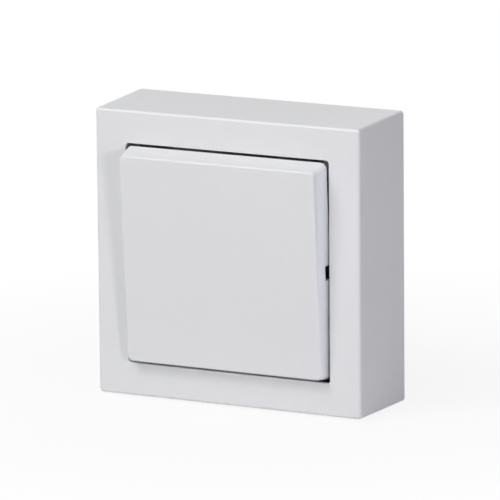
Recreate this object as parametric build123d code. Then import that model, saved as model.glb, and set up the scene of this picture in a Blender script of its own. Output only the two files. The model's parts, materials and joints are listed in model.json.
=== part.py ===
from build123d import *
import math
import os

# Surface-mounted light switch with one full-size rocker that works two contact sets.
# Millimetres. +Z is up, +X is to the right as seen from the room, and +Y goes into the wall.
# The origin is the centre of the back, on the wall.
# The rocker is drawn at rest: its top edge stands out and its bottom edge is in.

# Overall sizes
SIDE = 85.0
DEPTH = 28.2
OPENING = 64.5
WALL = 2.0

# Cover frame
FRONT_Y = -DEPTH
FACE_PLATE = 2.0
FRAME_DRAFT = 0.6
OUTER_CORNER = 1.1
FRONT_EDGE = 0.9
OPENING_CORNER = 0.9
OPENING_BEVEL = 0.8
INNER_CORNER = 0.8
GUSSET_THICK = 1.2
GUSSET_AT = (-24.0, 0.0, 24.0)
GUSSET_SETBACK = 1.45
GUSSET_DEEP = 8.0
BREAKOUT_WIDTH = 16.0
BREAKOUT_DEPTH = 13.0
BREAKOUT_SKIN = 0.9
PRY_SLOT_WIDTH = 9.0
PRY_SLOT_DEPTH = 1.6

# Mounting base
BASE_CLEARANCE = 0.2
BASE_SIDE = SIDE - 2 * WALL - 2 * BASE_CLEARANCE
BASE_THICK = 2.0
BASE_CORNER = 1.0
WALL_SCREW_SPACING = 56.0
WALL_SCREW_HOLE_R = 2.2
WALL_SCREW_PAD_R = 4.6
WALL_SCREW_PAD = 0.8
CABLE_ENTRY_WIDTH = 34.0
CABLE_ENTRY_HEIGHT = 10.0
CABLE_ENTRY_Z = 30.0
CABLE_ENTRY_CORNER = 4.8
PILLAR_R = 4.0
PILLAR_WEB_HALF = 6.5
PILLAR_WEB_TALL = 4.0
PILLAR_WEB_THICK = 2.4
DEVICE_SCREW_SPACING = 60.0
CATCH_THICK = 1.2
CATCH_HALF = 5.0
CATCH_AT = (-20.0, 20.0)
CATCH_TIP_Y = -9.0
BARB = 0.7
BARB_TALL = 1.4
BARB_GAP = 0.2
RIB_TALL = 1.6
RIB_HALF = 34.0
RIB_Z = 37.0
RIB_THICK = 1.2
REST_HALF = 17.0
REST_WIDE = 2.4

# Support plate, folded from steel sheet
PLATE_FRONT_Y = -14.0
PLATE_THICK = 1.0
PLATE_BACK_Y = PLATE_FRONT_Y + PLATE_THICK
PLATE_MARGIN = 5.0
PLATE_SIDE = SIDE - 2 * WALL - 2 * PLATE_MARGIN
PLATE_CORNER = 3.0
PLATE_FLANGE_DEEP = 3.0
PLATE_FLANGE_HALF = 28.0
PLATE_FOLD = 0.5
PLATE_SLOT_LONG = 8.0
PLATE_SLOT_WIDE = 3.6
ACCESS_HOLE_R = 4.6

# Device screws
DEVICE_SHANK_R = 1.25
DEVICE_BORE_R = 1.3
DEVICE_HEAD_R = 3.0
DEVICE_HEAD_TALL = 1.7
DEVICE_TIP_Y = -6.0
DRIVE_SLOT_WIDE = 0.7
DRIVE_SLOT_DEEP = 0.8
HEAD_EDGE = 0.4

# Rocker: n is the distance in front of the pivot axis, before the rocker is tilted
PIVOT_BEHIND_FRONT = 3.0
PIVOT_Y = FRONT_Y + PIVOT_BEHIND_FRONT
REST_TILT = 3.8
FACE_N = 8.0
GAP_AT_FLANK = 0.55
GAP_AT_END = 0.5
BASE_WIDTH = OPENING - 2 * GAP_AT_FLANK
BASE_HEIGHT = OPENING - 2 * GAP_AT_END
FLANK_TAPER = 0.85
END_TAPER = 1.3
FACE_WIDTH = BASE_WIDTH - 2 * FLANK_TAPER
FACE_HEIGHT = BASE_HEIGHT - 2 * END_TAPER
KNEE_N = 1.4
FACE_CORNER = 1.5
KNEE_CORNER = 1.8
SKIRT_N = 1.1
FACE_EDGE = 0.5
BUTTON_FACE_THICK = 1.8
BUTTON_WALL = 1.4
NOTCH_HALF = 2.1
NOTCH_TOP_N = PIVOT_BEHIND_FRONT + 1.1
NOTCH_REACH = 3.0
BUTTON_RIB = 1.0
BUTTON_RIB_TALL = 2.5
BUTTON_RIB_AT = (-20.0, 20.0)
POST_AT = 12.0
POST_R = 1.6

# Carrier under the button
CARRIER_BACK_N = -1.7
CARRIER_THICK = 1.6
CARRIER_FRONT_N = CARRIER_BACK_N + CARRIER_THICK
CARRIER_HALF_Z = 17.0
CARRIER_CORNER = 1.5
CLIP_GAP = 0.1
CLIP_THICK = 1.2
CLIP_WIDE = 5.0
CLIP_X = 13.0
CLIP_BARB = 0.8
CLIP_TIP_N = -2.8
CHEEK_THICK = 1.6
CHEEK_HALF = 3.0
TRUNNION_R = 1.6
TRUNNION_CLEARANCE = 0.05

# Plungers and their springs
POLE_X = 9.7
TUBE_R = 3.2
TUBE_BORE_R = 2.1
TUBE_END_N = -11.8
PLUNGER_CLEARANCE = 0.1
PLUNGER_HEAD_FRONT_N = -9.6
PLUNGER_HEAD_BACK_N = -11.2
PLUNGER_STEM_R = 1.3
SPRING_R = 1.6
SPRING_WIRE_R = 0.22
SPRING_TURNS = 5
SPRING_WIRE_SIDES = 6
SPRING_SEAT = 0.05

# Contact bridges, which rock on a knife edge
KNIFE_Y = -9.0
BRIDGE_TILT = 7.0
BRIDGE_THICK = 0.6
BRIDGE_WIDE = 6.0
BRIDGE_HALF = 10.0
BRIDGE_CORNER = 1.0
BRIDGE_HUMP_HALF = 1.0
BRIDGE_HUMP_TALL = 0.55
KNIFE_GAP = 0.05
NOSE_GAP = 0.05
BRIDGE_BACK_Y = KNIFE_Y - KNIFE_GAP + BRIDGE_HUMP_TALL
HUMP_TOP_Y = KNIFE_Y - KNIFE_GAP - BRIDGE_THICK
NOSE_N = PIVOT_Y - HUMP_TOP_Y + NOSE_GAP

# Terminals
STRIP_THICK = 0.8
STRIP_HALF = 2.0
KNIFE_HALF = 2.5
KNIFE_THICK = 1.0
KNIFE_SHOULDER = 0.9
CONTACT_Z = 9.0
TIP_R = 1.5
MOVING_TIP_TALL = 0.7
FIXED_TIP_TALL = 0.5
BLOCK_WIDE = 7.0
BLOCK_LONG = 6.6
BLOCK_TALL = 6.2
BLOCK_GAP = 0.1
WIRE_BORE_R = 1.6
WIRE_WALL = 0.5
TERMINAL_SCREW_R = 1.45
TERMINAL_BORE_R = 1.5
TERMINAL_HEAD_R = 2.4
TERMINAL_HEAD_TALL = 1.6
TERMINAL_HEAD_LIFT = 0.6
TERMINAL_TIP_DEEP = 2.2

# Switch housing
HOUSING_HALF_X = 20.0
HOUSING_HALF_Z = 23.5
HOUSING_CORNER = 1.5
HOUSING_BACK_Y = -3.3
HOUSING_FLOOR = 1.8
HOUSING_WALL = 1.6
CENTRE_WALL = 2.0
FLOOR_Y = HOUSING_BACK_Y - HOUSING_FLOOR
COLLAR_HALF_Z = 22.0
CUTOUT_GAP = 0.3
BARRIER_GAP = 0.2
BARRIER_THICK = 0.9
BARRIER_SLOT_GAP = 0.2
STOP_GAP = 0.15
STOP_WIDE = 1.0
STOP_LONG = 1.6
FUNNEL_R = 2.0
HOUSING_LEG_WIDE = 8.0
RECESS_DEEP = 0.8
RECESS_Y = -8.8
RECESS_TALL = 1.5

# Housing cover with the bearing ears
COVER_THICK = 2.0
COVER_FRONT_Y = PLATE_FRONT_Y - COVER_THICK
COVER_LIP = 0.25
COVER_HALF_Z = 24.5
COVER_CORNER = 2.0
WINDOW_HALF_X = 4.2
WINDOW_HALF_Z = 5.0
ACCESS_R = 2.9
EAR_SETBACK = 0.2
EAR_GAP = 0.4
EAR_THICK = 2.2
TRUNNION_PAST_EAR = 0.1
EAR_HALF = 3.3
LEG_THICK = 1.2
LEG_GAP = 0.15
LEG_TIP_Y = -7.6
LEG_BARB = 0.6
LEG_BARB_TALL = 1.1

# Values worked out from the sizes above
HALF = SIDE / 2
INNER_HALF = HALF - WALL
BASE_HALF = BASE_SIDE / 2
STRIP_FRONT_Y = FLOOR_Y - STRIP_THICK
BLOCK_FRONT_Y = STRIP_FRONT_Y - BLOCK_TALL
WIRE_Y = STRIP_FRONT_Y - WIRE_BORE_R - WIRE_WALL
PLATE_EDGE = PLATE_SIDE / 2
CHAMBER_Z = COLLAR_HALF_Z - HOUSING_WALL
BLOCK_Z = CHAMBER_Z - BLOCK_GAP - BLOCK_LONG / 2
BARRIER_Z = BLOCK_Z - BLOCK_LONG / 2 - BARRIER_GAP - BARRIER_THICK
COVER_HALF_X = HOUSING_HALF_X + LEG_GAP + LEG_THICK + COVER_LIP
EAR_IN_X = HOUSING_HALF_X + EAR_SETBACK
CARRIER_HALF_X = EAR_IN_X - EAR_GAP
TRUNNION_LONG = EAR_GAP + EAR_THICK + TRUNNION_PAST_EAR
POLES = {"left": -1, "right": 1}

# Cutters run this far past what they cut, and an edge this near a plane lies on it
THROUGH = 1.0
NEAR = 0.2


def box(x0, x1, y0, y1, z0, z1):
    """A block between two corners."""
    middle = Pos((x0 + x1) / 2, (y0 + y1) / 2, (z0 + z1) / 2)
    return middle * Box(abs(x1 - x0), abs(y1 - y0), abs(z1 - z0))


def facing(y):
    """A drawing plane parallel to the wall, whose solids grow towards the room."""
    return Plane((0, y, 0), x_dir=(1, 0, 0), z_dir=(0, -1, 0))


def plate(back, front, width, height, corner, x=0, z=0):
    """A flat block with round corners, between two distances from the wall."""
    outline = facing(back) * Pos(x, z) * RectangleRounded(width, height, corner)
    return extrude(outline, back - front)


def drum(back, front, radius, x=0, z=0):
    """A round bar that points to the room."""
    return extrude(facing(back) * Pos(x, z) * Circle(radius), back - front)


def bar_x(x0, x1, y, z, radius):
    """A round bar along the rocker's axis."""
    return extrude(Plane((x0, y, z), x_dir=(0, 1, 0), z_dir=(1, 0, 0)) * Circle(radius), x1 - x0)


def bar_z(z0, z1, x, y, radius):
    """A round upright bar."""
    return extrude(Plane((x, y, z0), x_dir=(1, 0, 0), z_dir=(0, 0, 1)) * Circle(radius), z1 - z0)


def side_prism(points, x0, x1):
    """An outline in distance from the wall and height, stretched from x0 to x1."""
    plane = Plane((x0, 0, 0), x_dir=(0, 1, 0), z_dir=(1, 0, 0))
    return extrude(plane * make_face(Polyline(*points, close=True)), x1 - x0)


def plan_prism(points, z0, z1):
    """An outline seen from above, stretched from z0 to z1."""
    plane = Plane((0, 0, z0), x_dir=(1, 0, 0), z_dir=(0, 0, 1))
    return extrude(plane * make_face(Polyline(*points, close=True)), z1 - z0)


def swing(shape, degrees, axis_y):
    """Turns a shape about the level axis at one distance from the wall, top edge out."""
    return Pos(0, axis_y, 0) * Rot(degrees, 0, 0) * Pos(0, -axis_y, 0) * shape


def on_rocker(n):
    """Distance from the wall of a place that is n in front of the pivot."""
    return PIVOT_Y - n


def frame_barb(side, at_z):
    """A hook inside the frame's side wall, which snaps behind a catch of the base."""
    wide = CATCH_TIP_Y + 2 * BARB_TALL + BARB_GAP
    root = side * (INNER_HALF + THROUGH / 2)
    nose = side * (INNER_HALF - BARB)
    points = [(root, wide), (nose, wide), (nose, wide + BARB_TALL / 2), (root, wide + 2 * BARB_TALL)]
    return plan_prism(points, at_z - CATCH_HALF + THROUGH, at_z + CATCH_HALF - THROUGH)


def frame_form(side, corner, front):
    """The frame's box from the wall to one distance from it, slimmer towards the room."""
    slimmer = 2 * FRAME_DRAFT * front / FRONT_Y
    outlines = [facing(0) * RectangleRounded(side, side, corner)]
    outlines.append(facing(front) * RectangleRounded(side - slimmer, side - slimmer, corner))
    return loft(outlines, ruled=True)


def make_cover_frame():
    body = frame_form(SIDE, OUTER_CORNER, FRONT_Y)
    rim = body.faces().sort_by(Axis.Y)[0].edges()
    body = fillet(rim, FRONT_EDGE)
    body -= frame_form(2 * INNER_HALF, INNER_CORNER, FRONT_Y + FACE_PLATE)
    body -= plate(THROUGH, FRONT_Y - THROUGH, OPENING, OPENING, OPENING_CORNER)
    plate_back = FRONT_Y + FACE_PLATE
    lip = [e for e in body.edges() if abs(e.center().Y - plate_back) < NEAR]
    lip = [e for e in lip if max(abs(e.center().X), abs(e.center().Z)) < OPENING / 2 + NEAR]
    body = chamfer(lip, OPENING_BEVEL)
    for at in GUSSET_AT:
        low = at - GUSSET_THICK / 2
        high = at + GUSSET_THICK / 2
        for side in POLES.values():
            wall = side * (INNER_HALF + WALL / 2)
            near = side * (OPENING / 2 + OPENING_BEVEL + GUSSET_SETBACK)
            web = [(wall, plate_back - THROUGH), (near, plate_back - THROUGH), (near, plate_back)]
            web.append((wall, plate_back + GUSSET_DEEP))
            body += plan_prism(web, low, high)
            body += side_prism([(y, z) for z, y in web], low, high)
    for side in POLES.values():
        inner = side * (INNER_HALF - THROUGH)
        skin = side * (HALF - BREAKOUT_SKIN)
        half = BREAKOUT_WIDTH / 2
        body -= box(-half, half, -BREAKOUT_DEPTH, THROUGH, min(inner, skin), max(inner, skin))
        for at_z in CATCH_AT:
            body += frame_barb(side, at_z)
    half = PRY_SLOT_WIDTH / 2
    body -= box(-half, half, -PRY_SLOT_DEPTH, THROUGH, -HALF - THROUGH, -INNER_HALF + THROUGH)
    return body


def base_catch(side, at_z):
    """A springy tab with an outward ridge, which holds the cover frame."""
    outer = side * (BASE_HALF - BARB)
    inner = side * (BASE_HALF - BARB - CATCH_THICK)
    ridge = side * (BASE_HALF - BASE_CLEARANCE)
    ridge_back = CATCH_TIP_Y + 2 * BARB_TALL
    points = [
        (inner, -BASE_THICK / 2),
        (inner, CATCH_TIP_Y),
        (outer, CATCH_TIP_Y),
        (ridge, CATCH_TIP_Y + BARB_TALL),
        (ridge, ridge_back),
        (outer, ridge_back),
        (outer, -BASE_THICK / 2),
    ]
    return plan_prism(points, at_z - CATCH_HALF, at_z + CATCH_HALF)


def make_mounting_base():
    body = plate(0, -BASE_THICK, BASE_SIDE, BASE_SIDE, BASE_CORNER)
    screw_at = WALL_SCREW_SPACING / 2
    for x in (-screw_at, screw_at):
        for z in (-screw_at, screw_at):
            body += drum(-BASE_THICK, -BASE_THICK - WALL_SCREW_PAD, WALL_SCREW_PAD_R, x, z)
            body -= drum(THROUGH, -BASE_THICK - WALL_SCREW_PAD - THROUGH, WALL_SCREW_HOLE_R, x, z)
    body -= plate(
        THROUGH,
        -BASE_THICK - THROUGH,
        CABLE_ENTRY_WIDTH,
        CABLE_ENTRY_HEIGHT,
        CABLE_ENTRY_CORNER,
        0,
        CABLE_ENTRY_Z,
    )
    for side in POLES.values():
        x = side * DEVICE_SCREW_SPACING / 2
        body += drum(-BASE_THICK / 2, PLATE_BACK_Y, PILLAR_R, x)
        web = PILLAR_WEB_THICK / 2
        web_front = -BASE_THICK - PILLAR_WEB_TALL
        body += box(x - web, x + web, -BASE_THICK / 2, web_front, -PILLAR_WEB_HALF, PILLAR_WEB_HALF)
        body -= drum(DEVICE_TIP_Y + THROUGH, PLATE_BACK_Y - THROUGH, DEVICE_BORE_R, x)
        low = side * RIB_Z - RIB_THICK / 2
        high = side * RIB_Z + RIB_THICK / 2
        body += box(-RIB_HALF, RIB_HALF, -BASE_THICK / 2, -BASE_THICK - RIB_TALL, low, high)
        for at_z in CATCH_AT:
            body += base_catch(side, at_z)
    rest = REST_WIDE / 2
    body += box(-REST_HALF, REST_HALF, -BASE_THICK / 2, HOUSING_BACK_Y, -rest, rest)
    return body


def make_support_plate():
    body = plate(PLATE_BACK_Y, PLATE_FRONT_Y, PLATE_SIDE, PLATE_SIDE, PLATE_CORNER)
    for side in POLES.values():
        edge = side * PLATE_EDGE
        inner = side * (PLATE_EDGE - PLATE_THICK)
        flange_back = PLATE_BACK_Y + PLATE_FLANGE_DEEP
        body += box(
            -PLATE_FLANGE_HALF, PLATE_FLANGE_HALF, PLATE_FRONT_Y, flange_back, min(edge, inner), max(edge, inner)
        )
    corners = [e for e in body.edges().filter_by(Axis.X) if abs(e.center().Y - PLATE_FRONT_Y) < NEAR]
    folds = [e for e in corners if abs(abs(e.center().Z) - PLATE_EDGE) < NEAR]
    body = fillet(folds, PLATE_FOLD)
    body -= plate(
        PLATE_BACK_Y + THROUGH,
        PLATE_FRONT_Y - THROUGH,
        2 * (HOUSING_HALF_X + CUTOUT_GAP),
        2 * (COLLAR_HALF_Z + CUTOUT_GAP),
        HOUSING_CORNER,
    )
    for side in POLES.values():
        leg_out = side * (HOUSING_HALF_X + LEG_GAP + LEG_THICK + CUTOUT_GAP)
        half = HOUSING_LEG_WIDE / 2 + CUTOUT_GAP
        body -= box(0, leg_out, PLATE_BACK_Y + THROUGH, PLATE_FRONT_Y - THROUGH, -half, half)
        slot = SlotOverall(PLATE_SLOT_LONG, PLATE_SLOT_WIDE)
        outline = facing(PLATE_BACK_Y + THROUGH) * Pos(side * DEVICE_SCREW_SPACING / 2, 0) * Rot(0, 0, 90) * slot
        body -= extrude(outline, PLATE_THICK + 2 * THROUGH)
        for end in POLES.values():
            x = side * WALL_SCREW_SPACING / 2
            z = end * WALL_SCREW_SPACING / 2
            body -= drum(PLATE_BACK_Y + THROUGH, PLATE_FRONT_Y - THROUGH, ACCESS_HOLE_R, x, z)
    return body


def make_screw(seat, head_r, head_tall, shank_r, tip, x, z):
    """A cheese-head screw: its head stands on the seat and its shank goes back to the tip."""
    top = seat - head_tall
    head = drum(seat, top, head_r, x, z)
    rim = head.faces().sort_by(Axis.Y)[0].edges()
    head = chamfer(rim, HEAD_EDGE)
    shank = drum(tip, seat, shank_r, x, z)
    point = shank.faces().sort_by(Axis.Y)[-1].edges()
    body = head + chamfer(point, HEAD_EDGE)
    slot = DRIVE_SLOT_WIDE / 2
    body -= box(x - head_r, x + head_r, top - THROUGH, top + DRIVE_SLOT_DEEP, z - slot, z + slot)
    return body


def rocker_block(inset, face_n, back_n):
    """The button's form between two distances from the pivot, inset from its outer sides."""
    sizes = [
        (face_n, FACE_WIDTH, FACE_HEIGHT, FACE_CORNER),
        (KNEE_N, BASE_WIDTH, BASE_HEIGHT, KNEE_CORNER),
        (back_n, BASE_WIDTH, BASE_HEIGHT, KNEE_CORNER),
    ]
    outlines = []
    for n, width, height, corner in sizes:
        section = RectangleRounded(width - 2 * inset, height - 2 * inset, corner)
        outlines.append(facing(on_rocker(n)) * section)
    return loft(outlines, ruled=True)


def button_clip(side, end):
    """A springy leg of the button, with a barb that grips the carrier's edge."""
    near = CARRIER_HALF_Z + CLIP_GAP
    far = near + CLIP_THICK
    barb = near - CLIP_BARB
    barb_n = CARRIER_BACK_N - CLIP_GAP
    root_n = FACE_N - BUTTON_FACE_THICK / 2
    points = [
        (on_rocker(root_n), end * near),
        (on_rocker(barb_n), end * near),
        (on_rocker(barb_n), end * barb),
        (on_rocker(CLIP_TIP_N), end * near),
        (on_rocker(CLIP_TIP_N), end * far),
        (on_rocker(root_n), end * far),
    ]
    x = side * CLIP_X
    return side_prism(points, x - CLIP_WIDE / 2, x + CLIP_WIDE / 2)


def make_rocker_button():
    body = rocker_block(0, FACE_N, SKIRT_N)
    rim = body.faces().sort_by(Axis.Y)[0].edges()
    body = fillet(rim, FACE_EDGE)
    inner_face_n = FACE_N - BUTTON_FACE_THICK
    body -= rocker_block(BUTTON_WALL, inner_face_n, SKIRT_N - THROUGH)
    half_z = FACE_HEIGHT / 2 - BUTTON_WALL / 2
    half_x = FACE_WIDTH / 2 - BUTTON_WALL / 2
    rib_back = on_rocker(inner_face_n - BUTTON_RIB_TALL)
    rib_front = on_rocker(FACE_N - BUTTON_FACE_THICK / 2)
    for at in BUTTON_RIB_AT:
        low = at - BUTTON_RIB / 2
        high = at + BUTTON_RIB / 2
        body += box(low, high, rib_front, rib_back, -half_z, half_z)
        body += box(-half_x, half_x, rib_front, rib_back, low, high)
    for side in POLES.values():
        notch_in = side * (BASE_WIDTH / 2 - NOTCH_REACH)
        notch_out = side * (BASE_WIDTH / 2 + THROUGH)
        body -= box(
            notch_in, notch_out, on_rocker(NOTCH_TOP_N), on_rocker(SKIRT_N - THROUGH), -NOTCH_HALF, NOTCH_HALF
        )
        for end in POLES.values():
            body += button_clip(side, end)
            body += drum(on_rocker(CARRIER_FRONT_N), rib_front, POST_R, side * POST_AT, end * POST_AT)
    return swing(body, REST_TILT, PIVOT_Y)


def make_rocker_carrier():
    body = plate(
        on_rocker(CARRIER_BACK_N),
        on_rocker(CARRIER_FRONT_N),
        2 * CARRIER_HALF_X,
        2 * CARRIER_HALF_Z,
        CARRIER_CORNER,
    )
    for side in POLES.values():
        outer = side * CARRIER_HALF_X
        inner = side * (CARRIER_HALF_X - CHEEK_THICK)
        pin_end = side * (CARRIER_HALF_X + TRUNNION_LONG)
        body += box(inner, outer, on_rocker(CARRIER_FRONT_N), PIVOT_Y, -CHEEK_HALF, CHEEK_HALF)
        body += bar_x(min(inner, outer), max(inner, outer), PIVOT_Y, 0, CHEEK_HALF)
        body += bar_x(min(inner, pin_end), max(inner, pin_end), PIVOT_Y, 0, TRUNNION_R)
        x = side * POLE_X
        body += drum(on_rocker(TUBE_END_N), on_rocker(CARRIER_FRONT_N), TUBE_R, x)
        body -= drum(on_rocker(TUBE_END_N - THROUGH), on_rocker(CARRIER_BACK_N), TUBE_BORE_R, x)
    return swing(body, REST_TILT, PIVOT_Y)


def make_plunger(side):
    """A spring-loaded pin with a round nose, drawn as it is pressed in at half travel."""
    x = side * POLE_X
    head_r = TUBE_BORE_R - PLUNGER_CLEARANCE
    head = drum(on_rocker(PLUNGER_HEAD_BACK_N), on_rocker(PLUNGER_HEAD_FRONT_N), head_r, x)
    nose_y = on_rocker(NOSE_N) - PLUNGER_STEM_R
    body = head + drum(nose_y, on_rocker(PLUNGER_HEAD_BACK_N), PLUNGER_STEM_R, x)
    body += Pos(x, nose_y, 0) * Sphere(PLUNGER_STEM_R)
    return swing(body, REST_TILT, PIVOT_Y)


def make_plunger_spring(side):
    front = on_rocker(CARRIER_BACK_N) + SPRING_WIRE_R + SPRING_SEAT
    back = on_rocker(PLUNGER_HEAD_FRONT_N) - SPRING_WIRE_R - SPRING_SEAT
    length = back - front
    x = side * POLE_X
    path = Helix(length / SPRING_TURNS, length, SPRING_R, center=(x, front, 0), direction=(0, 1, 0))
    section = Plane(path @ 0, z_dir=path % 0) * RegularPolygon(SPRING_WIRE_R, SPRING_WIRE_SIDES)
    return swing(sweep(section, path, is_frenet=True), REST_TILT, PIVOT_Y)


def make_contact_bridge(side):
    """A bent strip: its hump sits on the knife edge and its two arms rock."""
    back = BRIDGE_BACK_Y
    front = back - BRIDGE_THICK
    valley = back - BRIDGE_HUMP_TALL
    points = [
        (back, -BRIDGE_HALF),
        (back, -BRIDGE_HUMP_HALF),
        (valley, 0),
        (back, BRIDGE_HUMP_HALF),
        (back, BRIDGE_HALF),
        (front, BRIDGE_HALF),
        (front, BRIDGE_HUMP_HALF),
        (valley - BRIDGE_THICK, 0),
        (front, -BRIDGE_HUMP_HALF),
        (front, -BRIDGE_HALF),
    ]
    x = side * POLE_X
    body = side_prism(points, x - BRIDGE_WIDE / 2, x + BRIDGE_WIDE / 2)
    ends = body.edges().filter_by(Axis.Y)
    body = fillet(ends, BRIDGE_CORNER)
    return swing(body, -BRIDGE_TILT, KNIFE_Y)


def make_moving_tip(side):
    """The silver button on the back of the bridge's lower arm."""
    body = drum(BRIDGE_BACK_Y + MOVING_TIP_TALL, BRIDGE_BACK_Y, TIP_R, side * POLE_X, -CONTACT_Z)
    return swing(body, -BRIDGE_TILT, KNIFE_Y)


def make_fixed_tip(side):
    return drum(STRIP_FRONT_Y, STRIP_FRONT_Y - FIXED_TIP_TALL, TIP_R, side * POLE_X, -CONTACT_Z)


def make_common_terminal(side):
    """A strip along the housing's floor, with the upright knife edge that the bridge rocks on."""
    x = side * POLE_X
    far = BLOCK_Z + BLOCK_LONG / 2
    body = box(x - STRIP_HALF, x + STRIP_HALF, STRIP_FRONT_Y, FLOOR_Y, -KNIFE_THICK, far)
    half = KNIFE_THICK / 2
    shoulder = KNIFE_Y + KNIFE_SHOULDER
    points = [(FLOOR_Y, -half), (shoulder, -half), (KNIFE_Y, 0), (shoulder, half), (FLOOR_Y, half)]
    body += side_prism(points, x - KNIFE_HALF, x + KNIFE_HALF)
    return body


def make_load_terminal(side):
    x = side * POLE_X
    far = -BLOCK_Z - BLOCK_LONG / 2
    near = -CONTACT_Z + TIP_R + HEAD_EDGE
    return box(x - STRIP_HALF, x + STRIP_HALF, STRIP_FRONT_Y, FLOOR_Y, far, near)


def make_terminal_block(side, end):
    """A brass pillar with a cross bore for the wire and a tapped hole for its screw."""
    x = side * POLE_X
    z = end * BLOCK_Z
    half = BLOCK_WIDE / 2
    body = box(x - half, x + half, BLOCK_FRONT_Y, STRIP_FRONT_Y, z - BLOCK_LONG / 2, z + BLOCK_LONG / 2)
    body = chamfer(body.edges().filter_by(Axis.Y), HEAD_EDGE)
    body -= bar_z(z - BLOCK_LONG, z + BLOCK_LONG, x, WIRE_Y, WIRE_BORE_R)
    body -= drum(WIRE_Y, BLOCK_FRONT_Y - THROUGH, TERMINAL_BORE_R, x, z)
    return body


def make_terminal_screw(side, end):
    seat = BLOCK_FRONT_Y - TERMINAL_HEAD_LIFT
    tip = BLOCK_FRONT_Y + TERMINAL_TIP_DEEP
    return make_screw(
        seat, TERMINAL_HEAD_R, TERMINAL_HEAD_TALL, TERMINAL_SCREW_R, tip, side * POLE_X, end * BLOCK_Z
    )


def make_switch_housing():
    body = plate(HOUSING_BACK_Y, PLATE_BACK_Y, 2 * HOUSING_HALF_X, 2 * HOUSING_HALF_Z, HOUSING_CORNER)
    body += plate(PLATE_BACK_Y, PLATE_FRONT_Y, 2 * HOUSING_HALF_X, 2 * COLLAR_HALF_Z, HOUSING_CORNER)
    chamber_in = CENTRE_WALL / 2
    chamber_out = HOUSING_HALF_X - HOUSING_WALL
    for side in POLES.values():
        x = side * POLE_X
        body -= box(
            side * chamber_in, side * chamber_out, FLOOR_Y, PLATE_FRONT_Y - THROUGH, -CHAMBER_Z, CHAMBER_Z
        )
        for end in POLES.values():
            low = end * BARRIER_Z
            high = end * (BARRIER_Z + BARRIER_THICK)
            barrier = box(side * chamber_in, side * chamber_out, FLOOR_Y, PLATE_BACK_Y, low, high)
            slot = STRIP_HALF + BARRIER_SLOT_GAP
            barrier -= box(
                x - slot,
                x + slot,
                STRIP_FRONT_Y - BARRIER_SLOT_GAP,
                FLOOR_Y + THROUGH,
                low - end * THROUGH,
                high + end * THROUGH,
            )
            body += barrier
            hole_end = end * (HOUSING_HALF_Z + THROUGH)
            hole_start = end * (BLOCK_Z + BLOCK_LONG / 2)
            body -= bar_z(min(hole_start, hole_end), max(hole_start, hole_end), x, WIRE_Y, FUNNEL_R)
        stop_y = BRIDGE_BACK_Y + CONTACT_Z * math.sin(math.radians(BRIDGE_TILT)) + STOP_GAP
        for lean in POLES.values():
            near = x + lean * (STRIP_HALF + BARRIER_SLOT_GAP)
            far = near + lean * STOP_WIDE
            body += box(near, far, FLOOR_Y + HOUSING_FLOOR / 2, stop_y, CONTACT_Z - STOP_LONG, CONTACT_Z)
        wall_x = side * HOUSING_HALF_X
        deep_x = side * (HOUSING_HALF_X - RECESS_DEEP)
        half = HOUSING_LEG_WIDE / 2 + CUTOUT_GAP
        body -= box(
            deep_x, wall_x + side * THROUGH, RECESS_Y - RECESS_TALL / 2, RECESS_Y + RECESS_TALL / 2, -half, half
        )
    return body


def cover_leg(side):
    """A springy leg that reaches back through the support plate and snaps into the housing."""
    inner = side * (HOUSING_HALF_X + LEG_GAP)
    outer = inner + side * LEG_THICK
    barb = side * (HOUSING_HALF_X - LEG_BARB)
    barb_front = RECESS_Y - LEG_BARB_TALL / 2
    barb_back = RECESS_Y + LEG_BARB_TALL / 2
    points = [
        (inner, COVER_FRONT_Y + COVER_THICK / 2),
        (inner, barb_front),
        (barb, barb_front),
        (inner, barb_back),
        (inner, LEG_TIP_Y),
        (outer, LEG_TIP_Y),
        (outer, COVER_FRONT_Y + COVER_THICK / 2),
    ]
    return plan_prism(points, -HOUSING_LEG_WIDE / 2, HOUSING_LEG_WIDE / 2)


def make_housing_cover():
    body = plate(PLATE_FRONT_Y, COVER_FRONT_Y, 2 * COVER_HALF_X, 2 * COVER_HALF_Z, COVER_CORNER)
    for side in POLES.values():
        x = side * POLE_X
        body -= plate(
            PLATE_FRONT_Y + THROUGH,
            COVER_FRONT_Y - THROUGH,
            2 * WINDOW_HALF_X,
            2 * WINDOW_HALF_Z,
            COVER_CORNER,
            x,
        )
        for end in POLES.values():
            body -= drum(PLATE_FRONT_Y + THROUGH, COVER_FRONT_Y - THROUGH, ACCESS_R, x, end * BLOCK_Z)
        ear_in = side * EAR_IN_X
        ear_out = side * (EAR_IN_X + EAR_THICK)
        ear = box(ear_in, ear_out, COVER_FRONT_Y + COVER_THICK / 2, PIVOT_Y, -EAR_HALF, EAR_HALF)
        ear += bar_x(min(ear_in, ear_out), max(ear_in, ear_out), PIVOT_Y, 0, EAR_HALF)
        bore = TRUNNION_R + TRUNNION_CLEARANCE
        reach = side * (EAR_IN_X + EAR_THICK + THROUGH)
        start = side * (EAR_IN_X - THROUGH)
        body += ear
        body -= bar_x(min(start, reach), max(start, reach), PIVOT_Y, 0, bore)
        body += cover_leg(side)
    return body


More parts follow.
